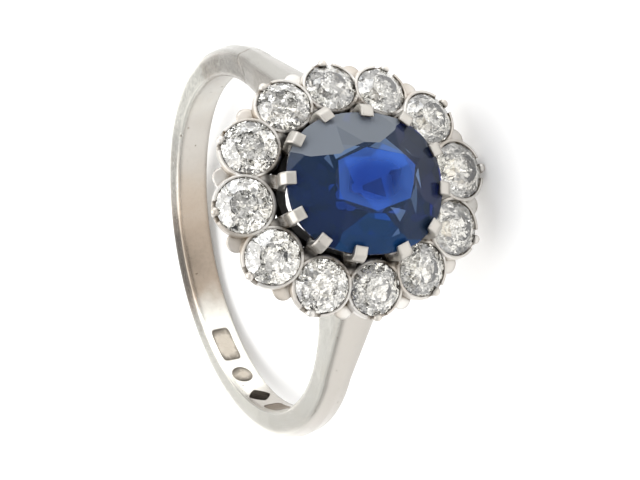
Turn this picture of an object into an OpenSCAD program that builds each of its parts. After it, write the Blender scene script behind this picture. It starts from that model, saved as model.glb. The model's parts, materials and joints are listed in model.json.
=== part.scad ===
// Cluster ring. A cushion-cut centre stone stands in twelve tab claws, inside a ring of
// twelve old-cut stones in open-backed collets, on a slim band with straight shoulders.
// The origin is the centre of the finger hole. The ring lies on its side: it rests on the
// edge of the band's back and on the rim of the cluster, so the hole's axis leans from +Z.
// Lengths are in millimetres and angles in degrees.

/* [Finger hole and band] */
// Inside diameter of the band
hole_d = 17; // [14:0.1:21]
// Thickness of the band at its crest
band_t = 1.45; // [1.1:0.05:2]
// Width of the band round the back
band_w = 1.65; // [1.4:0.05:2.4]
// Radius of the band's two outer edges
band_edge_r = 0.4; // [0.2:0.05:0.5]
// How far the band's outer face falls from its crest to its edges
band_dome = 0.1; // [0.05:0.01:0.2]
// Chamfer that eases the band's inner edges
inner_ease = 0.1; // [0.05:0.01:0.15]
// Width of the shoulders where they meet the head
shoulder_w = 2.2; // [1.8:0.05:3]
// Angle from the head at which the shoulders leave the band's circle
shoulder_angle = 63; // [56:1:70]

/* [Centre stone] */
// Length of the centre stone, along the finger
centre_l = 7.95; // [7:0.05:10]
// Width of the centre stone, across the finger
centre_w = 6.95; // [6:0.05:9]
// How square the centre stone's outline is, where 2 is an ellipse
centre_square = 2.3; // [2:0.05:2.8]
// Turn of the centre stone in its claws
centre_turn = 10; // [0:1:15]
// Distance of the centre stone's axis from the head's, across the finger
centre_shift = 0.1; // [0:0.01:0.15]
// Height of the centre stone's girdle above the finger hole's wall
centre_rise = 5.5; // [5.2:0.05:6.5]
// Height of the centre stone's table above its girdle
centre_crown = 1.25; // [0.9:0.05:1.6]
// Depth of the centre stone below its girdle
centre_pavilion = 2.9; // [2.4:0.05:3.3]

/* [Outer stones] */
// Distance from the centre stone's ends to the middles of the outer stones
halo_reach_l = 1.71; // [1.6:0.01:2]
// Distance from the centre stone's sides to the middles of the outer stones
halo_reach_w = 1.54; // [1.45:0.01:1.8]
// How far the outer stones' girdles lie below the centre stone's
halo_drop = 1.55; // [1.4:0.05:2]
// Outward tilt of the outer stones
halo_tilt = 20; // [14:1:24]
// Metal left between two neighbouring stones
halo_web = 0.1; // [0.08:0.01:0.3]

/* [Setting] */
// Clearance between a stone and the metal round it
stone_gap = 0.025; // [0.015:0.005:0.035]
// Thickness of a collet's rim at its top
rim_t = 0.15; // [0.12:0.01:0.2]
// Thickness of a collet's rim at its widest, below the top
rim_base_t = 0.23; // [0.2:0.01:0.26]
// Depth of that widest place below the stone's girdle
rim_base_down = 0.25; // [0.15:0.05:0.4]
// Height of a collet's rim above its stone's girdle
rim_up = 0.08; // [0.05:0.01:0.12]
// Height of a collet from its foot to its stone's girdle
collet_h = 2; // [1.7:0.05:2.3]
// Radial width of the wire that joins the feet of the collets
gallery_t = 0.7; // [0.5:0.05:0.9]
// Height of that wire
gallery_h = 0.6; // [0.4:0.05:0.8]
// Height of the cone that closes in under the centre stone, inside the collets
cone_h = 1.75; // [1.4:0.05:1.9]
// How far that cone closes in from its top to its open bottom
cone_in = 1.15; // [0.8:0.05:1.3]
// Thickness of the cone's wall
cone_t = 0.3; // [0.2:0.05:0.35]
// Thickness of the webs between the collets
web_t = 0.5; // [0.35:0.05:0.7]
// Radius of the rounded ribs that fill the outer gaps between the collets
rib_r = 0.5; // [0.4:0.05:0.55]
// Height of those ribs
rib_h = 1; // [0.8:0.05:1.2]
// Radius of the prong on the outer side of each collet
prong_r = 0.22; // [0.2:0.01:0.26]
// Distance of that prong's axis from the stone's edge
prong_out = 0.06; // [0.04:0.01:0.1]
// Height of that prong's rounded end above the stone's girdle
prong_up = 0.1; // [0.05:0.01:0.15]
// Depth of that prong's foot below the stone's girdle
prong_down = 0.7; // [0.5:0.05:0.9]
// Width of the notch on each side of that prong
notch_w = 0.3; // [0.2:0.01:0.35]
// Width of a claw
claw_w = 0.62; // [0.45:0.01:0.7]
// Thickness of a claw's leg
claw_t = 0.34; // [0.3:0.01:0.45]
// Thickness of a claw's tab
claw_tab_t = 0.2; // [0.16:0.01:0.28]
// Length of a claw's tab over the centre stone
claw_reach = 0.3; // [0.25:0.01:0.4]

/* [Hidden] */

hole_r = hole_d / 2;
metal_colour = "gainsboro";

// Places of the outer stones round the head, in degrees from the across-finger axis.
stone_angles = [-1.5, 29, 59.5, 89, 118, 148, 179, 209.5, 239.5, 269.5, 299.5, 329];
stone_count = len(stone_angles);
// How far each claw leads the middle of its web, in degrees.
claw_leads = [7, 6, 5, 2, -2, -3, 2, 1, 0, -2, -1, 2];

// Shares of an outer stone's radius.
halo_crown_share = 0.34;
halo_pavilion_share = 0.86;
halo_girdle_share = 0.05;
halo_table_share = 0.52;
centre_girdle = 0.12;
centre_table_share = 0.5;
// Shares of any stone's half width: where its lower facets meet, and its culet.
lower_share = 0.42;
culet_share = 0.07;
// Fall of the lower facets, from the girdle to where they meet, as a share of the pavilion.
lower_fall = (1 - lower_share * cos(22.5)) / (1 - culet_share);

// Shares of a collet's rim radius and of its stone's radius.
foot_share = 0.6;
open_share = 0.5;
// Shares of a prong's radius: its root, its dome's height and where its notches start.
prong_root = 0.9;
prong_dome = 0.75;
notch_start = 0.93;
// Shares of an outer stone's radius kept free over its table: how wide, and how high.
over_share = 0.56;
over_rise = 0.45;

centre_z = hole_r + centre_rise;
halo_z = centre_z - halo_drop;
halo_half_w = centre_w / 2 + halo_reach_w;
halo_half_l = centre_l / 2 + halo_reach_l;
foot_z = halo_z - collet_h * cos(halo_tilt);
foot_in = collet_h * sin(halo_tilt);
shoulder_in = halo_half_w - foot_in - gallery_t / 2;
slice_t = 0.02;
// How far the cone's top lies above the outer stones' girdles, and inside their middles.
cone_up = 0.1;
cone_inset = 1.68;
// Metal that the finger hole is bored through, and how far a shoulder starts inside the band.
bore_skin = 0.3;
shoulder_sink = 0.03;

// How far a claw's foot starts inside the centre stone's edge.
claw_root = 0.3;
// How far the ribs' axes lie outside the circle of the stones' middles, and their tops below it.
rib_out = 0.95;
rib_down = 0.35;

// Radius, towards angle a, of an oval with half axes p and q and squareness e.
function oval_r(a, p, q, e) = pow(pow(abs(cos(a)) / p, e) + pow(abs(sin(a)) / q, e), -1 / e);
// The same of the centre stone, from the head's axis, which the stone stands off by centre_shift.
function centre_r(a) = stone_edge(a) - centre_shift * cos(a);
function stone_edge(a) = oval_r(a + centre_turn, centre_w / 2, centre_l / 2, centre_square);
function halo_r(a) = oval_r(a, halo_half_w, halo_half_l, 2);
function polar(r, a) = [r * cos(a), r * sin(a)];
function angle_of(i) = stone_angles[(i + stone_count) % stone_count];
function place_of(i) = polar(halo_r(angle_of(i)), angle_of(i));
function spacing(i) = norm(place_of(i + 1) - place_of(i));
function stone_r(i) = (min(spacing(i), spacing(i - 1)) - halo_web) / 2;
function claw_angle(i) = web_angle(i) + claw_leads[i];
function claw_edge(i) = max([for (side = [-1, 0, 1]) centre_r(claw_angle(i) + side * claw_spread)]);
function kite_share(table) = (table + 1.1) / 2.1;
function kite_rise(crown, table) = crown * (1 - kite_share(table) * cos(22.5)) / (1 - table);
function web_angle(i) = (angle_of(i) + angle_of(i + 1) + (i == stone_count - 1 ? 360 : 0)) / 2;

// Half of the angle that a claw takes up at the centre stone's edge.
claw_spread = asin(claw_w / centre_w);

// Steepest slope of the centre stone's crown, which the claws' tabs follow.
tab_angle = atan(kite_rise(centre_crown, centre_table_share)
    / (centre_w / 2 * (1 - kite_share(centre_table_share))));

// Middle of the ball that ends the prong of a stone of radius r: outwards and up the axis.
function ball_at(r) = [r + prong_out, prong_up];

// Lean of the ring as it lies: one line touches the ball of the lowest prong and the rounded
// edge of the band's back. Both are circles in the plane of the head and the hole's axis.
low = 9;
low_ball = ball_at(stone_r(low));
low_place = [halo_z - low_ball[0] * sin(halo_tilt) + low_ball[1] * cos(halo_tilt),
             -halo_r(270) - low_ball[0] * cos(halo_tilt) - low_ball[1] * sin(halo_tilt)];
back_edge = [-(hole_r + band_t - band_dome - band_edge_r), -(band_w / 2 - band_edge_r)];
rest_span = low_place - back_edge;
lean = atan2(-rest_span[1], rest_span[0]) + asin((prong_r - band_edge_r) / norm(rest_span));

// Section of the band: x outwards from the finger hole, y along the finger.
function edge_arc(y, w, t, from) = [
    for (a = [from : 15 : from + 90])
        [t - band_dome - band_edge_r, y * (w / 2 - band_edge_r)] + band_edge_r * [cos(a), sin(a)]];
function band_section(r, w, t) = [for (p = concat(
    [[-bore_skin, w / 2], [-bore_skin, -w / 2]],
    edge_arc(-1, w, t, -90), [[t, 0]], edge_arc(1, w, t, 0))) [r + p[0], p[1]]];

// Places its children from the head's own axes: x across the finger, y along it, z outwards.
module on_head() {
    rotate([90, 0, 90]) children();
}

// Places its children at outer stone i: x outwards, z up the stone's axis, 0 at the girdle.
module at_stone(i) {
    on_head() rotate([0, 0, angle_of(i)]) translate([halo_r(angle_of(i)), 0, halo_z])
        rotate([0, halo_tilt, 0]) children();
}

// Places its children at web i: x outwards, z up the outer stones' tilt, 0 at their girdles.
module at_web(i) {
    on_head() rotate([0, 0, web_angle(i)]) translate([halo_r(web_angle(i)), 0, halo_z])
        rotate([0, halo_tilt, 0]) children();
}

// Places its children at claw i: x outwards, z along the head's axis, 0 at the hole's middle.
module at_claw(i) {
    on_head() rotate([0, 0, claw_angle(i)]) children();
}

// Brilliant-cut stone with half axes p and q. Its facets are the faces of the hull.
module cut_stone(p, q, e, girdle, crown, pavilion, table, rounds) {
    function at(a, share, z) = concat(polar(share * oval_r(a, p, q, e), a), [z]);
    kite = kite_share(table);
    top = girdle / 2 + crown;
    kite_z = girdle / 2 + kite_rise(crown, table);
    lower_z = -girdle / 2 - pavilion * lower_fall;
    points = concat(
        [for (a = [0 : 45 : 315]) at(a, table, top)],
        [for (a = [22.5 : 45 : 337.5]) at(a, kite, kite_z)],
        [for (a = [0 : 360 / rounds : 359], s = [-1, 1]) at(a, 1, s * girdle / 2)],
        [for (a = [22.5 : 45 : 337.5]) at(a, lower_share, lower_z)],
        [for (a = [0 : 45 : 315]) at(a, culet_share, -girdle / 2 - pavilion)]);
    hull() polyhedron(points, [[for (k = [0 : len(points) - 1]) k]]);
}

// Band round the finger, open under the head.
module band() {
    difference() {
        rotate_extrude($fn = 120) polygon(band_section(hole_r, band_w, band_t));
        translate([0, -shoulder_in, -shoulder_w]) cube([hole_r * 2, 2 * shoulder_in, 2 * shoulder_w]);
    }
}

// Thin slice of the band's section, w wide, on the circle of radius r at angle a from the head.
module slice(a, r, w) {
    rotate([0, 0, a]) rotate([90, 0, 0]) linear_extrude(slice_t) polygon(band_section(r, w, band_t));
}

// Straight shoulder from the band's circle to the foot of the head, side s.
module shoulder(s) {
    mirror([0, (1 - s) / 2, 0]) hull() {
        slice(shoulder_angle, hole_r - shoulder_sink, band_w - 2 * shoulder_sink);
        slice(asin(shoulder_in / hole_r), hole_r, (band_w + shoulder_w) / 2);
        translate([foot_z + gallery_h / 4, 0, 0]) slice(90, shoulder_in, shoulder_w);
    }
}

// Finger hole, flared a little past the band's edges to ease them.
module finger_hole() {
    plain = band_w / 2 - inner_ease;
    past = shoulder_w / 2 + inner_ease;
    flare = hole_r + past - plain;
    rotate_extrude($fn = 120)
        polygon([[0, -past], [flare, -past], [hole_r, -plain], [hole_r, plain], [flare, past], [0, past]]);
}

// Collet of outer stone i before it is bored: a cone that flares up to the rim, whose top
// slopes back in to the stone.
module collet(i) {
    wide_r = stone_r(i) + rim_base_t;
    at_stone(i) rotate_extrude($fn = 48) polygon([[0, -collet_h], [wide_r * foot_share, -collet_h],
        [wide_r, -rim_base_down], [stone_r(i) + rim_t, rim_up], [0, rim_up]]);
}

// Room for outer stone i: the open back, the seat, the girdle's bore and a taper over the crown.
module collet_room(i) {
    r = stone_r(i) + stone_gap;
    open_r = r * open_share;
    seat_z = -stone_r(i) * halo_girdle_share / 2 - stone_gap;
    open_z = seat_z - (r - open_r) * halo_pavilion_share * lower_fall / (1 - lower_share);
    top_z = stone_r(i) * over_rise + stone_gap;
    at_stone(i) rotate_extrude($fn = 48) polygon([[0, -collet_h - gallery_h],
        [open_r, -collet_h - gallery_h], [open_r, open_z], [r, seat_z],
        [r, rim_up + stone_gap / 2], [r * over_share, top_z], [0, top_z]]);
}

// The two notches that free the prong of stone i from its collet's rim.
module notches(i) {
    turn = asin((prong_r * notch_start + notch_w / 2) / ball_at(stone_r(i))[0]);
    at_stone(i) for (side = [-1, 1]) rotate([0, 0, side * turn])
        translate([stone_r(i) * 0.8, -notch_w / 2, -rim_base_down * 0.8])
            cube([stone_r(i), notch_w, 2 * rim_base_down]);
}

// Prong of stone i: a tapered round peg up the outside of the collet, with a domed end.
module prong(i) {
    ball = ball_at(stone_r(i));
    at_stone(i) translate([ball[0], 0, ball[1]]) rotate_extrude($fn = 32) polygon(concat(
        [[0, -ball[1] - prong_down], [prong_r * prong_root, -ball[1] - prong_down]],
        [for (a = [0 : 15 : 90]) prong_r * [cos(a), sin(a) * prong_dome]]));
}

// Web i between two collets, from the gap outside them to the foot of claw i.
module web(i) {
    foot_r = claw_edge(i) - claw_root;
    reach = (halo_r(web_angle(i)) - foot_r) / cos(halo_tilt);
    aside = foot_r * tan(claw_leads[i]);
    at_web(i) translate([0, 0, -web_t]) linear_extrude(web_t) polygon([
        [-reach, aside - claw_w * 0.6], [-reach, aside + claw_w * 0.6],
        [reach * 0.1, claw_w * 0.3], [reach * 0.1, -claw_w * 0.3]]);
}

// Rib in the outer gap between two collets, below web i.
module rib(i) {
    at_web(i) translate([rib_out, 0, -rib_down - rib_h])
        cylinder(h = rib_h, r1 = rib_r * 0.8, r2 = rib_r, $fn = 48);
}

// Claw i: a leg that leans out of the web and a tab bent over the centre stone's crown.
module claw(i) {
    edge = claw_edge(i);
    root_z = halo_z + (halo_r(claw_angle(i)) - edge) * tan(halo_tilt) - web_t / 2;
    girdle_top = centre_z + centre_girdle / 2;
    crown_rise = (claw_reach + stone_gap) * tan(tab_angle) + stone_gap;
    at_claw(i) rotate([90, 0, 0]) translate([0, 0, -claw_w / 2]) linear_extrude(claw_w) polygon([
        [edge - claw_root, root_z],
        [edge - claw_root + claw_t, root_z],
        [edge + stone_gap + claw_t, centre_z - centre_girdle],
        [edge + stone_gap + claw_t, girdle_top + crown_rise * 0.4],
        [edge + stone_gap + claw_t * 0.4, girdle_top + crown_rise + claw_tab_t * 0.5],
        [edge - claw_reach, girdle_top + crown_rise + claw_tab_t],
        [edge - claw_reach, girdle_top + crown_rise],
        [edge + stone_gap, girdle_top + stone_gap],
        [edge + stone_gap, centre_z - centre_girdle]]);
}

// Body of the cone under the centre stone, grown outwards by wide and past both ends by past.
module cone_body(wide, past) {
    function at(a, z) = concat(polar(oval_r(a, halo_half_w - cone_inset + wide + z * cone_in / cone_h,
        halo_half_l - cone_inset + wide + z * cone_in / cone_h, 2), a), [halo_z + cone_up + z]);
    points = [for (z = [-cone_h - past, past], a = [0 : 10 : 350]) at(a, z)];
    hull() polyhedron(points, [[for (k = [0 : len(points) - 1]) k]]);
}

// Cone under the centre stone: a wall that closes in from the collets to an open bottom.
module cone() {
    on_head() difference() {
        cone_body(cone_t, 0);
        cone_body(0, cone_t);
    }
}

// Wire that joins the feet of the collets and takes the shoulders.
module gallery() {
    p = halo_half_w - foot_in;
    q = halo_half_l - foot_in;
    function ring(d) = [for (a = [0 : 6 : 354]) polar(oval_r(a, p + d, q + d, 2), a)];
    on_head() translate([0, 0, foot_z - gallery_h / 2]) linear_extrude(gallery_h) difference() {
        polygon(ring(gallery_t / 2));
        polygon(ring(-gallery_t / 2));
    }
}

module ring_metal() {
    color(metal_colour) difference() {
        union() {
            band();
            shoulder(1);
            shoulder(-1);
            gallery();
            cone();
            for (i = [0 : stone_count - 1]) collet(i);
            for (i = [0 : stone_count - 1]) web(i);
            for (i = [0 : stone_count - 1]) rib(i);
            for (i = [0 : stone_count - 1]) claw(i);
            for (i = [0 : stone_count - 1]) prong(i);
        }
        for (i = [0 : stone_count - 1]) collet_room(i);
        for (i = [0 : stone_count - 1]) notches(i);
        finger_hole();
    }
}

module sapphire() {
    color("royalblue") on_head() translate([-centre_shift, 0, centre_z])
        rotate([0, 0, -centre_turn])
            cut_stone(centre_w / 2, centre_l / 2, centre_square, centre_girdle, centre_crown,
                centre_pavilion, centre_table_share, 32);
}

module diamond(i) {
    r = stone_r(i);
    color("white") at_stone(i) cut_stone(r, r, 2, r * halo_girdle_share, r * halo_crown_share,
        r * halo_pavilion_share, halo_table_share, 16);
}

rotate([0, -lean, 0]) ring_metal();
rotate([0, -lean, 0]) sapphire();
rotate([0, -lean, 0]) diamond(0);  // diamond_01
rotate([0, -lean, 0]) diamond(1);  // diamond_02
rotate([0, -lean, 0]) diamond(2);  // diamond_03
rotate([0, -lean, 0]) diamond(3);  // diamond_04
rotate([0, -lean, 0]) diamond(4);  // diamond_05
rotate([0, -lean, 0]) diamond(5);  // diamond_06
rotate([0, -lean, 0]) diamond(6);  // diamond_07
rotate([0, -lean, 0]) diamond(7);  // diamond_08
rotate([0, -lean, 0]) diamond(8);  // diamond_09
rotate([0, -lean, 0]) diamond(9);  // diamond_10
rotate([0, -lean, 0]) diamond(10);  // diamond_11
rotate([0, -lean, 0]) diamond(11);  // diamond_12
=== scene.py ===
import bpy
import bmesh
import json
import math
import random
from mathutils import Matrix, Vector


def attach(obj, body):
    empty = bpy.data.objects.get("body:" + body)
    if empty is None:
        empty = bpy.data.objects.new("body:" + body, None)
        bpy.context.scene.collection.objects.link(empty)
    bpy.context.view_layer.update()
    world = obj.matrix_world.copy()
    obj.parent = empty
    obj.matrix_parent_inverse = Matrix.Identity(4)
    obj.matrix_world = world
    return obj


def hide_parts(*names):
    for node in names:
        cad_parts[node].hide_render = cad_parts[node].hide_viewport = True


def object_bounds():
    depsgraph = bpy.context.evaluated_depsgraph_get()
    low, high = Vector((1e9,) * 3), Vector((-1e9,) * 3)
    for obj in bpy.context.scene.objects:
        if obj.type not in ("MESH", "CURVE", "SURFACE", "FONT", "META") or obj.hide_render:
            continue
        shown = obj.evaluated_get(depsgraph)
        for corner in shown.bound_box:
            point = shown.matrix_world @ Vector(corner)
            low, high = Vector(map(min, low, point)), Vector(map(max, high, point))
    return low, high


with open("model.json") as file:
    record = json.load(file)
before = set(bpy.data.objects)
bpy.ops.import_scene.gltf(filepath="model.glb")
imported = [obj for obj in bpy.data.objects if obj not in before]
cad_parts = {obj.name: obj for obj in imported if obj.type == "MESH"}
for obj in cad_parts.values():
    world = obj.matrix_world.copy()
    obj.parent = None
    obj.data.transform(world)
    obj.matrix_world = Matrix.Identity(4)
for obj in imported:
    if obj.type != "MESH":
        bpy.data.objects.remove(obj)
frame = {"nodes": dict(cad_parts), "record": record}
cadLow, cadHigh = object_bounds()
mm = 0.001

# The hole's axis leans; the head points to +X and up. Sizes below are in these axes, in mm.
holeAxis = Vector(frame["record"]["mounts"][0]["axis"]).normalized()
across = Vector((0, 1, 0))
headOut = across.cross(holeAxis)


class Wire:
    def __init__(self, finish, socket):
        self.finish, self.socket = finish, socket

    def maths(self, operation, *others):
        return self.finish.node("ShaderNodeMath", {"operation": operation}, dict(enumerate([self, *others])))

    def __add__(self, other):
        return self.maths("ADD", other)

    def __mul__(self, other):
        return self.maths("MULTIPLY", other)

    def __sub__(self, other):
        return self.maths("SUBTRACT", other)

    def __rsub__(self, other):
        return self.finish.node("ShaderNodeMath", {"operation": "SUBTRACT"}, {0: other, 1: self})

    def __truediv__(self, other):
        return self.maths("DIVIDE", other)

    def __lt__(self, other):
        return self.maths("LESS_THAN", other)

    def __pow__(self, other):
        return self.maths("POWER", other)

    def __abs__(self):
        return self.maths("ABSOLUTE")

    __radd__, __rmul__ = __add__, __mul__

    def least(self, other):
        return self.maths("MINIMUM", other)

    def most(self, other):
        return self.maths("MAXIMUM", other)

    def atLeast(self, low):  # squeezes 0 to 1 into low to 1
        return low + (1 - low) * self

    def between(self, low, high):  # 0 at low, 1 at high, smooth between
        return self.finish.node(
            "ShaderNodeMapRange", {"interpolation_type": "SMOOTHSTEP"}, {0: self, 1: low, 2: high, 3: 0.0, 4: 1.0}
        )


class Finish:
    def __init__(self, name, world=None, **constants):
        self.material = world or bpy.data.materials.new(name)
        self.material.use_nodes = True
        self.tree = self.material.node_tree
        self.shader = self.tree.nodes["Background" if world else "Principled BSDF"]
        for socket, value in constants.items():
            self.shader.inputs[socket.replace("_", " ")].default_value = value

    def node(self, kind, settings=None, inputs=None, out=0):
        made = self.tree.nodes.new(kind)
        for key, value in (settings or {}).items():
            setattr(made, key, value)
        for key, value in (inputs or {}).items():
            if isinstance(value, Wire):
                self.tree.links.new(value.socket, made.inputs[key])
            else:
                made.inputs[key].default_value = value
        return Wire(self, made.outputs[out])

    def feed(self, **wires):
        for socket, wire in wires.items():
            self.tree.links.new(wire.socket, self.shader.inputs[socket.replace("_", " ")])

    def facing(self):  # the way that the surface faces, in the object's own axes
        return self.node("ShaderNodeTexCoord", out=1)

    def position(self):  # object coordinates in mm
        spot = self.node("ShaderNodeTexCoord", out=3)
        return self.node("ShaderNodeVectorMath", {"operation": "SCALE"}, {0: spot, 3: 1 / mm})

    def along(self, spot, axis):
        return self.node("ShaderNodeVectorMath", {"operation": "DOT_PRODUCT"}, {0: spot, 1: tuple(axis)}, out=1)

    def noise(self, spot, scale, detail=3.0, roughness=0.5):
        return self.node(
            "ShaderNodeTexNoise", None, {"Vector": spot, "Scale": scale, "Detail": detail, "Roughness": roughness}
        )

    def mix(self, factor, first, second):
        settings = {"data_type": "RGBA", "clamp_factor": True}
        return self.node("ShaderNodeMix", settings, {0: factor, 6: first, 7: second}, out=2)


goldValues = {
    # the band's, the head's and the claw tips' own colours
    "band": (0.62, 0.605, 0.565, 1), "bandWarm": (0.56, 0.52, 0.46, 1),
    "head": (0.74, 0.72, 0.685, 1), "headWarm": (0.58, 0.53, 0.47, 1), "claw": (0.53, 0.505, 0.465, 1),
    # colours: painted highlight, painted shade, brown tones, dirt and painted crevice shade, painted gallery
    # shadow, marks
    "cream": (0.95, 0.935, 0.86, 1), "shadeSide": (0.47, 0.445, 0.41, 1), "shadeTop": (0.34, 0.33, 0.305, 1),
    "brownTone": (0.38, 0.31, 0.245, 1), "umber": (0.10, 0.085, 0.07, 1), "tarnishAndShade": (0.12, 0.08, 0.038, 1),
    "galleryShadow": (0.016, 0.013, 0.010, 1), "brass": (0.30, 0.20, 0.11, 1), "stamped": (0.014, 0.009, 0.005, 1),
    # patterns: turns per mm, detail and roughness of broad warmth, fine grain, patches of dirt, pits,
    # dents and scratches; the dots have only turns per mm, and a share on the band and on the head
    "mottle": (0.55, 3.0, 0.5), "grain": (6.0, 4.0, 0.6), "patch": (1.7, 5.0, 0.65),
    "pit": (3.3, 2.0, 0.4), "dent": (0.9, 2.0, 0.5), "scratch": (1.0, 2.0, 0.5),
    "scratchScale": (3.0, 3.0, 26.0), "scratchTurn": (0.3, 0.2, 0.1),
    "dotScale": 1.9, "dotOnBand": 0.35, "dotOnHead": 0.5,
    # ramps: the value at which each pattern starts to show, and at which it shows in full
    "warmRamp": (0.35, 0.7), "patchRamp": (0.40, 0.62), "grimeRamp": (0.42, 0.56), "pitRamp": (0.74, 0.78),
    "dotRamp": (0.05, 0.085), "scratchRamp": (0.52, 0.75), "grainRamp": (0.3, 0.7),
    # how much dirt, and painted crevice shade, stays where the patches and the grain leave the metal clean
    "grimePatch": 0.2, "grimeGrain": 0.35, "crevicePatch": 0.5,
    # roughness of the two skins, and what grain, marks, the painted gallery shadow, scratches, and dirt with the
    # painted crevice shade add to it
    "bandRough": 0.16, "headRough": 0.34,
    "grainRough": 0.10, "markRough": 0.25, "galleryShadowRough": 0.5, "scratchRough": 0.03, "dirtRough": 0.3,
    # relief: share of each pattern in the bump
    "dentRelief": 0.35, "grainRelief": 0.05, "scratchRelief": 0.006, "pitRelief": 0.3, "markRelief": 0.7,
    "seamRelief": 0.5, "bumpStrength": 0.35,
    # how strongly pits, the seam and the marks' brass show
    "pitShare": 0.85, "seamShare": 0.7, "brassShare": 0.5,
    # eased edges, how far the painted crevice shade reaches and the bump's depth, in metres
    "edgeRadius": 0.0002, "bandEdge": 0.00015, "crevice": 0.00035, "bumpDepth": 0.00008,
    "creviceLow": 0.35, "creviceHigh": 0.90,
    # heights through the head in mm: where its skin starts and is full, and where the claws' tips start
    "headStart": 10.0, "headFull": 11.2, "tipStart": 13.5, "tipFade": 0.3,
    # dirt round the claws' feet: how far from the middle, how wide and up to what height, in mm
    "feetAway": 3.75, "feetWide": 1.1, "feetTop": 13.75, "feetRamp": (0.05, 0.6), "feetFade": 1.1,
    # painted shadow inside the gallery: share of the outer stones' oval, heights in mm, and how far it has to
    # face upwards
    "galleryShadowInside": 0.78, "galleryShadowEnd": 0.86, "galleryShadowStart": 10.3, "galleryShadowFull": 10.7, "galleryShadowTop": 13.1, "galleryShadowFade": 0.3,
    "upwardRamp": (-0.25, 0.05),
    # solder seam on the shoulder: where it starts and is full, its middle across and outwards, half width
    "seamStart": 6.9, "seamFull": 7.2, "seamAcross": 7.7, "seamOut": 4.55, "seamHalf": 0.06, "seamSlant": 0.25,
    # the hole's wall: its radius and how far above it the wall ends, in mm
    "holeRadius": 8.5, "wallRamp": (0.02, 0.1),
    # painted highlight below the band's back, in radians from it: on the wall, and on the side face, where
    # sideRamp says how much a face has to look along the hole's axis to count as side
    "wallStart": 0.08, "wallFull": 0.38, "wallEnd": 1.45, "wallFade": 0.4,
    "sideRamp": (0.5, 0.9), "sideStart": 0.22, "sideFull": 0.45, "sideBright": 0.6, "sideFaint": 0.2,
    "sideLoss": 0.75, "sideFade": (1.0, 1.4), "topFade": (0.6, 1.2),
    # painted shade where the band looks across the finger, on its near and far side: how much it has to look
    # there, and over what height in mm either way the painted shade fades in towards the head
    "shadeSideRamp": (-0.3, -0.8), "shadeTopRamp": (0.3, 0.8), "shadeReach": 2.0,
    # zones round the band of painted highlight, painted shade and brown tones: angle from its back and half
    # width in radians, colour, and how much of it shows on the hole's wall and on the side face; then how far
    # their edges wander in radians, and where they fade, in half widths
    "zoneWander": 0.3, "zoneRamp": (1.0, 0.4),
    "zones": [
        (0.12, 0.44, "brownTone", 0.95, 1.0), (0.13, 0.30, "umber", 0.12, 0.8), (0.56, 0.27, "brownTone", 0.75, 0.15),
        (0.85, 0.34, "shadeSide", 0.8, 0.0), (1.2, 0.46, "cream", 0.0, 0.95), (2.2, 0.6, "shadeSide", 0.0, 0.7),
        (-1.12, 0.3, "shadeSide", 1.0, 0.0), (-2.4, 0.6, "cream", 0.0, 0.3),
    ],
    # blank stamped marks inside the band: angle from its back in degrees, half length and half width
    # in mm, roundness, how dark the rim and the middle are, and how far the dark reaches in
    "marks": [
        (-26.9, 1.04, 0.5, 6.0, 0.95, 0.05, 0.9), (-41.6, 0.6, 0.52, 2.0, 1.0, 0.1, 2.2),
        (-56.0, 0.68, 0.58, 1.3, 1.0, 1.0, 2.0), (-71.0, 0.9, 0.5, 5.0, 0.9, 0.45, 1.2),
    ],
    "markAside": 0.1, "markRamp": (0.92, 1.04),
    # the dark rim of the marks: its width, what the patches of dirt add to it, its share at the
    # mark's mid-length, and how dark the middle stays between the patches
    "rimWide": 0.25, "rimUneven": 0.35, "rimMiddle": 0.45, "middlePatch": 0.9,
}


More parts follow.
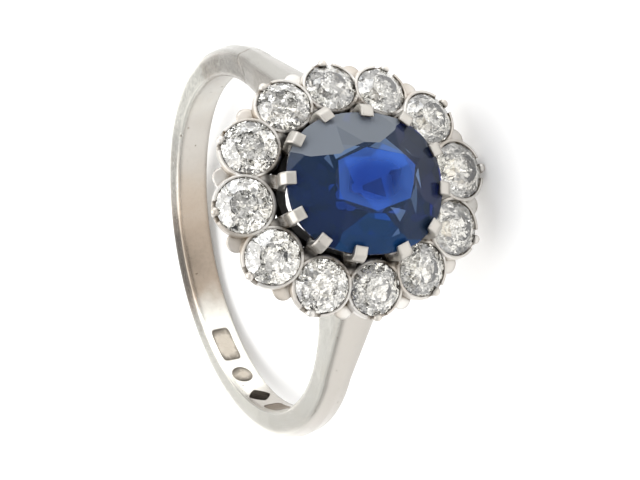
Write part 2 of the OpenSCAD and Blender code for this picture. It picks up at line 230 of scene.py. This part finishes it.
def whiteGold():
    v = goldValues
    gold = Finish("whiteGold", Metallic=1.0, IOR=1.5)
    spot, facing = gold.position(), gold.facing()
    s, f, h = (gold.along(spot, axis) for axis in (across, holeAxis, headOut))
    mottle = gold.noise(spot, *v["mottle"])
    grain = gold.noise(spot, *v["grain"])
    patchy = gold.noise(spot, *v["patch"]).between(*v["patchRamp"])
    onHead = h.between(v["headStart"], v["headFull"])
    fromAxis = (s * s + f * f) ** 0.5
    fromHole = (s * s + h * h) ** 0.5
    angle = gold.node("ShaderNodeMath", {"operation": "ARCTAN2"}, {0: s, 1: 0.0 - h})  # from the band's back

    # painted shade in the crevices round the stones, under the claws and between the settings; dirt at the claws'
    # feet
    clear = gold.node("ShaderNodeAmbientOcclusion", {"samples": 8}, {"Distance": v["crevice"]}, out=1)
    crevice = (1.0 - clear.between(v["creviceLow"], v["creviceHigh"])) * onHead
    feet = (1.0 - abs(fromAxis - v["feetAway"]) / v["feetWide"]).most(0.0).between(*v["feetRamp"])
    feet = feet * (v["feetTop"] - h).between(0.0, v["feetFade"]) * onHead
    grimeAndShade = feet * patchy.atLeast(v["grimePatch"]) * grain.between(*v["grimeRamp"]).atLeast(v["grimeGrain"])
    grimeAndShade = grimeAndShade.most(crevice * patchy.atLeast(v["crevicePatch"]))
    upward = gold.along(facing, headOut).between(*v["upwardRamp"])
    # painted shadow inside the gallery, on faces that look upwards
    oval = ((s / outerStones["halfAcross"]) ** 2.0 + (f / outerStones["halfAlong"]) ** 2.0) ** 0.5
    galleryShadow = (1.0 - oval.between(v["galleryShadowInside"], v["galleryShadowEnd"])) * (v["galleryShadowTop"] - h).between(0.0, v["galleryShadowFade"])
    galleryShadow = galleryShadow * h.between(v["galleryShadowStart"], v["galleryShadowFull"]) * upward

    # pits: rare small dark dots
    pits = gold.noise(spot, *v["pit"]).between(*v["pitRamp"])
    dots = gold.node("ShaderNodeTexVoronoi", {"feature": "F1"}, {"Vector": spot, "Scale": v["dotScale"]}, out=0)
    dots = (1.0 - dots.between(*v["dotRamp"])) * patchy * (v["dotOnBand"] + v["dotOnHead"] * onHead)
    pits = pits.most(dots)

    # blank marks on the hole's wall
    wall = (1.0 - (fromHole - v["holeRadius"]).between(*v["wallRamp"])) * (1.0 - onHead)
    pressed = stain = wall * 0.0
    for middle, halfLong, halfWide, square, rimDark, middleDark, reach in v["marks"]:
        along = abs((angle - math.radians(middle)) * v["holeRadius"]) / halfLong
        aside = abs(f - v["markAside"]) / halfWide
        shape = (along ** square + aside ** square) ** (1 / square)
        inside = (1.0 - shape.between(*v["markRamp"])) * wall
        rimWidth = reach * (v["rimWide"] + v["rimUneven"] * patchy)
        rim = inside * (1.0 - (1.0 - shape) / rimWidth).most(0.0).least(1.0)
        rim = rim * along.atLeast(v["rimMiddle"]).least(1.0)
        pressed = pressed.most(inside)
        stain = stain.most(rim * rimDark).most(inside * patchy.atLeast(v["middlePatch"]) * middleDark)

    # a faint solder seam where the shoulder joins the band
    seam = abs(h - v["seamOut"] + (s - v["seamAcross"]) * v["seamSlant"]) / v["seamHalf"]
    seam = (1.0 - seam).most(0.0) * s.between(v["seamStart"], v["seamFull"])

    # painted highlight on the wall and the side face, painted shade where the band looks to the sides
    below = 0.0 - angle
    paintedBright = below.between(v["wallStart"], v["wallFull"])
    paintedBright = paintedBright * (v["wallEnd"] - below).between(0.0, v["wallFade"]) * wall
    sideFace = gold.along(facing, holeAxis).between(*v["sideRamp"])
    side = v["sideBright"] * below.between(v["sideStart"], v["sideFull"])
    side = side * (1.0 - v["sideLoss"] * below.between(*v["sideFade"]))
    paintedBright = paintedBright.most(sideFace * (v["sideFaint"] * (1.0 - angle.between(*v["topFade"])) + side))
    sideways = gold.along(facing, across)

    warmth = mottle.between(*v["warmRamp"])
    colour = gold.mix(warmth, v["band"], v["bandWarm"])
    nearHead = (h + v["shadeReach"]).between(0.0, 2 * v["shadeReach"])
    # painted shade on faces that look to either side
    colour = gold.mix(sideways.between(*v["shadeSideRamp"]) * nearHead, colour, v["shadeSide"])
    colour = gold.mix(sideways.between(*v["shadeTopRamp"]) * (1.0 - wall), colour, v["shadeTop"])
    # painted highlight on the wall and the side face
    colour = gold.mix(paintedBright, colour, v["cream"])
    # zones of painted highlight, painted shade and brown tones round the band
    wander = angle + mottle * v["zoneWander"] - v["zoneWander"] / 2
    for middle, half, name, onWall, onSide in v["zones"]:
        near = (abs(wander - middle) / half).between(*v["zoneRamp"])
        colour = gold.mix(near * (wall * onWall + sideFace * onSide), colour, v[name])
    colour = gold.mix(pressed * v["brassShare"], colour, v["brass"])
    head = gold.mix(warmth, v["head"], v["headWarm"])
    head = gold.mix((h - v["tipStart"]).between(0.0, v["tipFade"]), head, v["claw"])
    colour = gold.mix(onHead, colour, head)
    # dirt, pits and the seam, with the painted shade in the crevices
    dirtAndShade = (grimeAndShade + pits * v["pitShare"] + seam * v["seamShare"]).least(1.0)
    colour = gold.mix(dirtAndShade, colour, v["tarnishAndShade"])
    colour = gold.mix(stain, colour, v["stamped"])
    # painted shadow inside the gallery
    colour = gold.mix(galleryShadow, colour, v["galleryShadow"])

    # fine scratches, and a duller skin on the head
    turned = {"Vector": spot, "Rotation": v["scratchTurn"], "Scale": v["scratchScale"]}
    drawn = gold.node("ShaderNodeMapping", None, turned)
    scratches = gold.noise(drawn, *v["scratch"]).between(*v["scratchRamp"])
    rough = v["bandRough"] + (v["headRough"] - v["bandRough"]) * onHead
    rough = rough + v["grainRough"] * grain.between(*v["grainRamp"])
    rough = rough + pressed * v["markRough"] + galleryShadow * v["galleryShadowRough"] + scratches * v["scratchRough"]
    rough = rough + (grimeAndShade + stain) * v["dirtRough"]
    dent = gold.noise(spot, *v["dent"])
    height = dent * v["dentRelief"] + grain * onHead * v["grainRelief"] + scratches * v["scratchRelief"]
    height = height - pits * v["pitRelief"] - pressed * (v["markRelief"] - patchy) - seam * v["seamRelief"]
    radius = v["edgeRadius"] + v["bandEdge"] * (1.0 - onHead)
    soft = gold.node("ShaderNodeBevel", {"samples": 6}, {"Radius": radius})
    bump = gold.node("ShaderNodeBump", None, {
        "Strength": v["bumpStrength"], "Distance": v["bumpDepth"], "Height": height, "Normal": soft,
    })
    gold.feed(Base_Color=colour, Roughness=rough, Normal=bump)
    return gold.material


# Each row of facets: from share and height at its lower edge to share and height at its upper
# edge, with how many there are and the angle of the first. Shares are of the half widths,
# heights are of the crown's or the pavilion's height, from the girdle. Angles are in degrees, and
# so is hand, how far the cutter's hand strays. Other lengths are in mm, or the outer stones' radius.
oldCut = {
    "girdle": 0.05, "crown": 0.34, "pavilion": 0.86, "hand": 3.0, "sides": 32,
    "crownRows": [
        (1.0, 0.0, 0.80, 0.44, 16, 11.25),
        (1.0, 0.0, 0.52, 1.0, 8, 0.0),
        (0.80, 0.52, 0.50, 1.0, 8, 22.5),
    ],
    "pavilionRows": [
        (1.0, 0.0, 0.62, 0.47, 16, 11.25),
        (1.0, 0.0, 0.07, 1.0, 8, 0.0),
        (0.52, 0.58, 0.07, 1.0, 8, 22.5),
    ],
}
cushionCut = {
    "halfAcross": 3.475, "halfAlong": 3.975, "squareness": 2.3, "turn": 10.0, "aside": 0.1,
    "girdleHeight": 14.0, "girdle": 0.12, "crown": 1.25, "pavilion": 2.9, "hand": 1.5, "sides": 48,
    "crownRows": [
        (1.0, 0.0, 0.84, 0.42, 16, 11.25),
        (1.0, 0.0, 0.50, 1.0, 8, 0.0),
        (0.80, 0.52, 0.48, 1.0, 8, 22.5),
    ],
    "pavilionRows": [
        (1.0, 0.0, 0.74, 0.42, 16, 11.25),
        (1.0, 0.0, 0.42, 0.72, 8, 0.0),
        (0.80, 0.36, 0.30, 0.86, 8, 22.5),
        (0.50, 0.66, 0.07, 1.0, 8, 0.0),
    ],
}
outerStones = {
    "angles": [-1.5, 29, 59.5, 89, 118, 148, 179, 209.5, 239.5, 269.5, 299.5, 329],
    "halfAcross": 5.015, "halfAlong": 5.685, "height": 12.45, "tilt": 20.0, "web": 0.1,
    "spin": 0.9,  # radians, so that no two stones lie the same way
}


def ovalRadius(angle, p, q, square):
    c, s = abs(math.cos(angle)), abs(math.sin(angle))
    return ((c / p) ** square + (s / q) ** square) ** (-1 / square)


def ovalReach(angle, p, q, square):  # how far the outline reaches in a direction
    k = square / (square - 1)
    c, s = abs(math.cos(angle)), abs(math.sin(angle))
    return ((p * c) ** k + (q * s) ** k) ** (1 / k)


def cutStone(name, p, q, square, girdle, crown, pavilion, crownRows, pavilionRows, sides, matrix, hand):
    shape = bmesh.new()
    uneven = random.Random(name)  # old stones were cut by hand, so no two facets match
    block = Matrix.Translation((0, 0, (crown - pavilion) / 2)) @ Matrix.Diagonal(
        (4 * p, 4 * q, crown + pavilion + girdle, 1)
    )
    bmesh.ops.create_cube(shape, size=1.0, matrix=block)
    depthPerDegree = 0.005  # the cutter's hand strays in depth as it does in angle
    smallest = 2e-4  # corners closer than this, in mm, become one
    flat = math.radians(0.6)  # faces that meet at less than this become one facet

    def grind(point, normal):  # cuts off what lies outside a facet's plane and closes the stone again
        bmesh.ops.bisect_plane(
            shape, geom=shape.verts[:] + shape.edges[:] + shape.faces[:], dist=1e-6,
            plane_co=point, plane_no=normal, clear_outer=True,
        )
        bmesh.ops.delete(shape, geom=shape.edges[:] + shape.faces[:], context="EDGES_FACES")
        bmesh.ops.remove_doubles(shape, verts=shape.verts[:], dist=smallest)
        hull = bmesh.ops.convex_hull(shape, input=shape.verts[:])
        spare = {v for v in hull["geom_interior"] + hull["geom_unused"] if isinstance(v, bmesh.types.BMVert)}
        bmesh.ops.delete(shape, geom=list(spare), context="VERTS")

    for k in range(sides):
        a = 2 * math.pi * (k + 0.5) / sides
        d = ovalReach(a, p, q, square)
        grind((d * math.cos(a), d * math.sin(a), 0), (math.cos(a), math.sin(a), 0))
    for rows, total, side in ((crownRows, crown, 1), (pavilionRows, pavilion, -1)):
        for lowShare, lowHeight, highShare, highHeight, count, first in rows:
            for k in range(count):
                a = math.radians(first + uneven.uniform(-hand, hand)) + 2 * math.pi * k / count
                d = ovalReach(a, p, q, square) * (1 + uneven.uniform(-hand, hand) * depthPerDegree)
                run, rise = d * (lowShare - highShare), total * (highHeight - lowHeight)
                slope = math.atan2(run, rise)
                normal = Vector((
                    math.cos(a) * math.cos(slope), math.sin(a) * math.cos(slope), side * math.sin(slope),
                ))
                grind((d * lowShare * math.cos(a), d * lowShare * math.sin(a),
                       side * (girdle / 2 + total * lowHeight)), normal)
    bmesh.ops.dissolve_limit(shape, angle_limit=flat, verts=shape.verts[:], edges=shape.edges[:])
    bmesh.ops.recalc_face_normals(shape, faces=shape.faces[:])
    bmesh.ops.transform(shape, matrix=matrix, verts=shape.verts[:])
    mesh = bpy.data.meshes.new(name)
    shape.to_mesh(mesh)
    shape.free()
    for face in mesh.polygons:
        face.use_smooth = False
    stone = bpy.data.objects.new(name, mesh)
    bpy.context.scene.collection.objects.link(stone)
    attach(stone, "root")
    return stone


headMatrix = Matrix((across, holeAxis, headOut)).transposed().to_4x4()
toMetres = Matrix.Diagonal((mm, mm, mm, 1))


def makeSapphire(finish):
    c = cushionCut
    matrix = toMetres @ headMatrix @ Matrix.Translation((-c["aside"], 0, c["girdleHeight"])) @ Matrix.Rotation(
        math.radians(-c["turn"]), 4, "Z"
    )
    stone = cutStone("sapphireCut", c["halfAcross"], c["halfAlong"], c["squareness"], c["girdle"], c["crown"],
                     c["pavilion"], c["crownRows"], c["pavilionRows"], c["sides"], matrix, c["hand"])
    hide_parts("sapphire")
    stone.data.materials.append(finish)


def makeDiamonds(finish):
    o, c = outerStones, oldCut
    angles = [math.radians(a) for a in o["angles"]]
    spots = []
    for a in angles:
        r = ovalRadius(a, o["halfAcross"], o["halfAlong"], 2)
        spots.append((r, Vector((r * math.cos(a), r * math.sin(a)))))
    for k, a in enumerate(angles):
        r, spot = spots[k]
        near = min((spot - spots[k - 1][1]).length, (spot - spots[(k + 1) % len(spots)][1]).length)
        radius = (near - o["web"]) / 2
        matrix = (toMetres @ headMatrix @ Matrix.Rotation(a, 4, "Z") @ Matrix.Translation((r, 0, o["height"]))
                  @ Matrix.Rotation(math.radians(o["tilt"]), 4, "Y") @ Matrix.Rotation(o["spin"] * k, 4, "Z"))
        stone = cutStone("diamondCut%02d" % (k + 1), radius, radius, 2, radius * c["girdle"], radius * c["crown"],
                         radius * c["pavilion"], c["crownRows"], c["pavilionRows"], c["sides"], matrix, c["hand"])
        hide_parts("diamond_%02d" % (k + 1))
        stone.data.materials.append(finish)


sapphireValues = {
    "tint": (0.22, 0.40, 0.75, 1), "shine": (0.20, 0.23, 0.30, 1),
    "absorb": (0.03, 0.40, 0.78, 1), "density": 900.0,
    # painted light and shade that the facets show: colours and how much of each facet they cover
    "navy": (0.018, 0.036, 0.075, 1), "slate": (0.022, 0.031, 0.055, 1), "teal": (0.010, 0.062, 0.18, 1),
    "deep": (0.006, 0.030, 0.18, 1), "bright": (0.042, 0.115, 0.42, 1), "glint": (0.19, 0.30, 0.52, 1),
    "pale": (0.165, 0.185, 0.21, 1), "cover": 0.62, "paleCover": 0.82,
    "faceRough": 0.06, "faceBend": 1.5, "faceShine": 0.1,
    # how soft the girdle's, the window's and the glints' edges are, and how far the deep blue reaches
    # in, in mm; then the pattern that makes its edge uneven: turns per mm and detail, ramp, share
    "girdleSoft": 0.1, "windowSoft": 0.02, "glintSoft": 0.03, "deepReach": 0.9,
    "heart": (0.45, 1.0), "heartRamp": (0.3, 0.7), "heartShare": 0.4,
    # which ways the slate, teal and pale facets face, and how near to that a facet has to be
    "slateRamp": (0.2, 0.4), "tealRamp": (0.52, 0.6), "paleRamp": (0.34, 0.48),
    "slateWay": holeAxis * -0.9 + across * 0.2, "tealWay": across * -1.0, "paleWay": across * 0.95 + holeAxis * 0.3,
    # the painted bright window: its middle, then the way to each side in degrees and how far it lies
    "window": (-0.1, -0.5),
    "sides": [(14, 1.6), (-20, 1.25), (-51, 1.6), (-114, 1.55), (-170, 1.45), (153, 1.75), (78, 2.3)],
    # three-cornered painted glints round it: corners across and along, and their strength
    "glints": [
        (2.0, 1.8, 1.5, 0.3, 1.1, 1.7, 0.8), (1.5, 1.9, 1.3, 2.2, 0.6, 1.9, 0.4),
        (1.8, -1.1, 0.7, -1.9, 1.4, -0.1, 0.5), (1.2, -2.0, 0.6, -2.4, 0.9, -2.1, 0.7),
        (0.1, -2.5, -1.1, -2.4, -0.3, -2.2, 0.8), (-0.5, -2.2, -2.2, -1.9, -1.4, -1.6, 0.35),
        (-1.6, -0.4, -1.9, -1.3, -2.4, -0.9, 0.6), (-3.0, -0.4, -2.6, -0.8, -2.9, -0.9, 0.5),
    ],
}


def sapphireFinish():
    v = sapphireValues
    blue = Finish("sapphireBlue", Roughness=0.0, IOR=1.77, Transmission_Weight=1.0, Base_Color=v["tint"])
    blue.shader.inputs["Specular Tint"].default_value = v["shine"]
    spot, facing = blue.position(), blue.facing()
    s, f, h = (blue.along(spot, axis) for axis in (across, holeAxis, headOut))
    onCrown = h.between(cushionCut["girdleHeight"], cushionCut["girdleHeight"] + v["girdleSoft"])

    # painted shade: dark facets, teal towards one side
    paintedFacetLight = blue.mix(blue.along(facing, v["slateWay"]).between(*v["slateRamp"]), v["navy"], v["slate"])
    paintedFacetLight = blue.mix(blue.along(facing, v["tealWay"]).between(*v["tealRamp"]), paintedFacetLight, v["teal"])

    # the painted bright window, light through the stone: inside all of its straight sides
    edge = None
    for way, far in v["sides"]:
        a = math.radians(way)
        side = (s - v["window"][0]) * math.cos(a) + (f - v["window"][1]) * math.sin(a) - far
        edge = side if edge is None else edge.most(side)
    heart = blue.noise(spot, *v["heart"]).between(*v["heartRamp"]) * v["heartShare"]
    window = blue.mix((edge + v["deepReach"] + heart).between(0.0, 1.0), v["deep"], v["bright"])
    paintedFacetLight = blue.mix(1.0 - edge.between(-v["windowSoft"], v["windowSoft"]), paintedFacetLight, window)

    # each painted glint: inside all of its three sides, whichever way round its corners are given
    for s1, f1, s2, f2, s3, f3, strength in v["glints"]:
        within = None
        turn = math.copysign(1, (s2 - s1) * (f3 - f1) - (f2 - f1) * (s3 - s1))
        for sa, fa, sb, fb in ((s1, f1, s2, f2), (s2, f2, s3, f3), (s3, f3, s1, f1)):
            length = turn * math.hypot(sb - sa, fb - fa)
            side = (f - fa) * ((sb - sa) / length) - (s - sa) * ((fb - fa) / length)
            within = side if within is None else within.least(side)
        paintedFacetLight = blue.mix(within.between(0.0, v["glintSoft"]) * strength, paintedFacetLight, v["glint"])

    # painted highlight: pale facets that face the light
    lit = blue.along(facing, v["paleWay"]).between(*v["paleRamp"])
    paintedFacetLight = blue.mix(lit, paintedFacetLight, v["pale"])

    # the painted light and shade lies over the crown as a thin second face
    face = blue.node("ShaderNodeBsdfPrincipled", None, {
        "Base Color": paintedFacetLight, "Roughness": v["faceRough"], "IOR": v["faceBend"], "Specular IOR Level": v["faceShine"],
    })
    cover = (v["cover"] + (v["paleCover"] - v["cover"]) * lit) * onCrown
    both = blue.node("ShaderNodeMixShader", None, {0: cover, 1: Wire(blue, blue.shader.outputs[0]), 2: face})
    out = blue.tree.nodes["Material Output"]
    blue.tree.links.new(both.socket, out.inputs["Surface"])
    depth = blue.node("ShaderNodeVolumeAbsorption", None, {"Color": v["absorb"], "Density": v["density"]})
    blue.tree.links.new(depth.socket, out.inputs["Volume"])
    return blue.material


diamondValues = {
    "dull": (0.71, 0.69, 0.635, 1), "clear": (0.935, 0.92, 0.865, 1), "dark": (0.26, 0.25, 0.22, 1),
    # the stones on one side are duskier: where that starts and is full along the finger, and its share
    "dusky": (0.62, 0.605, 0.55, 1), "duskyStart": 3.0, "duskyFull": -4.0, "duskyShare": 0.6,
    "chips": 4.2, "darkShare": 0.13, "clearFull": 0.8, "tilt": 0.11,
}


def diamondFinish():  # small chips of tilted facets, painted paler and darker as painted sparkle, give the crushed look of an old cut
    v = diamondValues
    stone = Finish("diamondClear", Roughness=0.0, IOR=2.42, Transmission_Weight=1.0)
    spot = stone.position()
    chip = stone.node("ShaderNodeTexVoronoi", None, {"Vector": spot, "Scale": v["chips"]}, out=1)
    shade = stone.along(chip, (1, 0, 0))
    colour = stone.mix(shade.between(v["darkShare"], v["clearFull"]), v["dull"], v["clear"])
    dusk = stone.along(spot, holeAxis).between(v["duskyStart"], v["duskyFull"])
    colour = stone.mix(dusk * v["duskyShare"], colour, v["dusky"])
    lean = stone.node("ShaderNodeVectorMath", {"operation": "MULTIPLY_ADD"}, {
        0: chip, 1: (v["tilt"],) * 3, 2: (-v["tilt"] / 2,) * 3,
    })
    face = stone.node("ShaderNodeNewGeometry", out=1)
    lean = stone.node("ShaderNodeVectorMath", {"operation": "ADD"}, {0: lean, 1: face})
    lean = stone.node("ShaderNodeVectorMath", {"operation": "NORMALIZE"}, {0: lean})
    stone.feed(Base_Color=stone.mix(shade < v["darkShare"], colour, v["dark"]), Normal=lean)
    return stone.material


metal = frame["nodes"]["ring_metal"]
goldMaterial = whiteGold()
for slot in metal.material_slots:
    slot.material = goldMaterial
print("white gold done")
makeSapphire(sapphireFinish())
print("sapphire cut")
makeDiamonds(diamondFinish())
print("diamonds cut")

studio = {
    "floorSize": 3.0, "floorColour": (0.95, 0.95, 0.95, 1), "floorGlow": 0.11, "floorRough": 0.9, "floorShine": 0.1,
    # the sky: bright, softer overhead, with dark patches (turns, detail) for the stones to show
    "skyBright": (1.12, 1.12, 1.12, 1), "skyDark": (0.28, 0.28, 0.27, 1), "overhead": (0.6, 0.6, 0.62, 1),
    "patches": (10.0, 1.0), "patchRamp": (0.42, 0.50), "overheadRamp": (0.25, 0.85), "skyStrength": 0.95,
    "floorGap": 0.00002,  # metres between the ring and the floor
}


def makeStudio():
    v = studio
    floorShape = bmesh.new()
    drop = cadLow.z - v["floorGap"]
    bmesh.ops.create_grid(floorShape, x_segments=1, y_segments=1, size=v["floorSize"],
                          matrix=Matrix.Translation((0, 0, drop)))
    mesh = bpy.data.meshes.new("floor")
    floorShape.to_mesh(mesh)
    floorShape.free()
    floor = bpy.data.objects.new("floor", mesh)
    bpy.context.scene.collection.objects.link(floor)
    paper = Finish("paleFloor", Base_Color=v["floorColour"], Roughness=v["floorRough"])
    paper.shader.inputs["Specular IOR Level"].default_value = v["floorShine"]
    paper.shader.inputs["Emission Color"].default_value = v["floorColour"]
    paper.shader.inputs["Emission Strength"].default_value = v["floorGlow"]
    mesh.materials.append(paper.material)

    world = bpy.data.worlds.new("softSky")
    bpy.context.scene.world = world
    sky = Finish("sky", world, Strength=v["skyStrength"])
    way = sky.node("ShaderNodeTexCoord")
    patches = sky.noise(way, *v["patches"]).between(*v["patchRamp"])
    rise = sky.along(way, (0, 0, 1))
    dome = sky.mix(rise.between(*v["overheadRamp"]), v["skyBright"], v["overhead"])
    sky.feed(Color=sky.mix(patches, v["skyDark"], dome))


# name, direction towards the light, distance, size, brightness, colour
lamps = [
    ("backSoft", (-0.35, 0.12, 0.93), 0.5, 0.8, 2.3, (1.0, 0.99, 0.97)),
    ("crownGlow", (0.34, 0.87, 0.35), 0.35, 0.30, 2.5, (0.95, 0.97, 1.0)),
    ("frontFill", (1.0, -0.6, 0.25), 0.5, 0.4, 0.8, (1.0, 0.97, 0.93)),
]


def makeLamps():
    middle = (cadLow + cadHigh) / 2
    for name, way, distance, size, bright, colour in lamps:
        data = bpy.data.lights.new(name, "AREA")
        data.shape, data.size, data.color = "DISK", size, colour
        data.energy = bright * math.pi * math.pi * (size / 2) ** 2
        lamp = bpy.data.objects.new(name, data)
        back = Vector(way).normalized()
        lamp.location = middle + back * distance
        lamp.rotation_mode = "QUATERNION"
        lamp.rotation_quaternion = (-back).to_track_quat("-Z", "Y")
        bpy.context.scene.collection.objects.link(lamp)


# angles of the photo's camera to the head's axes, in degrees; distance and offsets in mm
lens = {"turn": 23.272, "lift": -7.29, "roll": -13.501, "distance": 300.0, "right": 2.8976, "up": 0.0736,
        "focalPixels": 6000.1, "imageWidth": 640, "sensorWidth": 36.0,
        "nearest": 0.01, "farthest": 20.0}  # what the camera sees, in metres


def makeCamera():
    turn, lift, roll = (math.radians(lens[k]) for k in ("turn", "lift", "roll"))
    back = across * math.sin(lift) + (holeAxis * math.sin(turn) + headOut * math.cos(turn)) * math.cos(lift)
    up = (across - back * across.dot(back)).normalized()
    right = up.cross(back)
    rightTurned = right * math.cos(roll) + up * math.sin(roll)
    upTurned = up * math.cos(roll) - right * math.sin(roll)
    data = bpy.data.cameras.new("photoCamera")
    data.sensor_width = lens["sensorWidth"]
    data.lens = lens["focalPixels"] * data.sensor_width / lens["imageWidth"]
    data.clip_start, data.clip_end = lens["nearest"], lens["farthest"]
    camera = bpy.data.objects.new("photoCamera", data)
    camera.matrix_world = Matrix.Translation(
        (back * lens["distance"] + rightTurned * lens["right"] + upTurned * lens["up"]) * mm
    ) @ Matrix((rightTurned, upTurned, back)).transposed().to_4x4()
    bpy.context.scene.collection.objects.link(camera)
    bpy.context.scene.camera = camera


makeStudio()
makeLamps()
makeCamera()
bpy.context.scene.view_settings.view_transform = "Standard"
print("studio done")
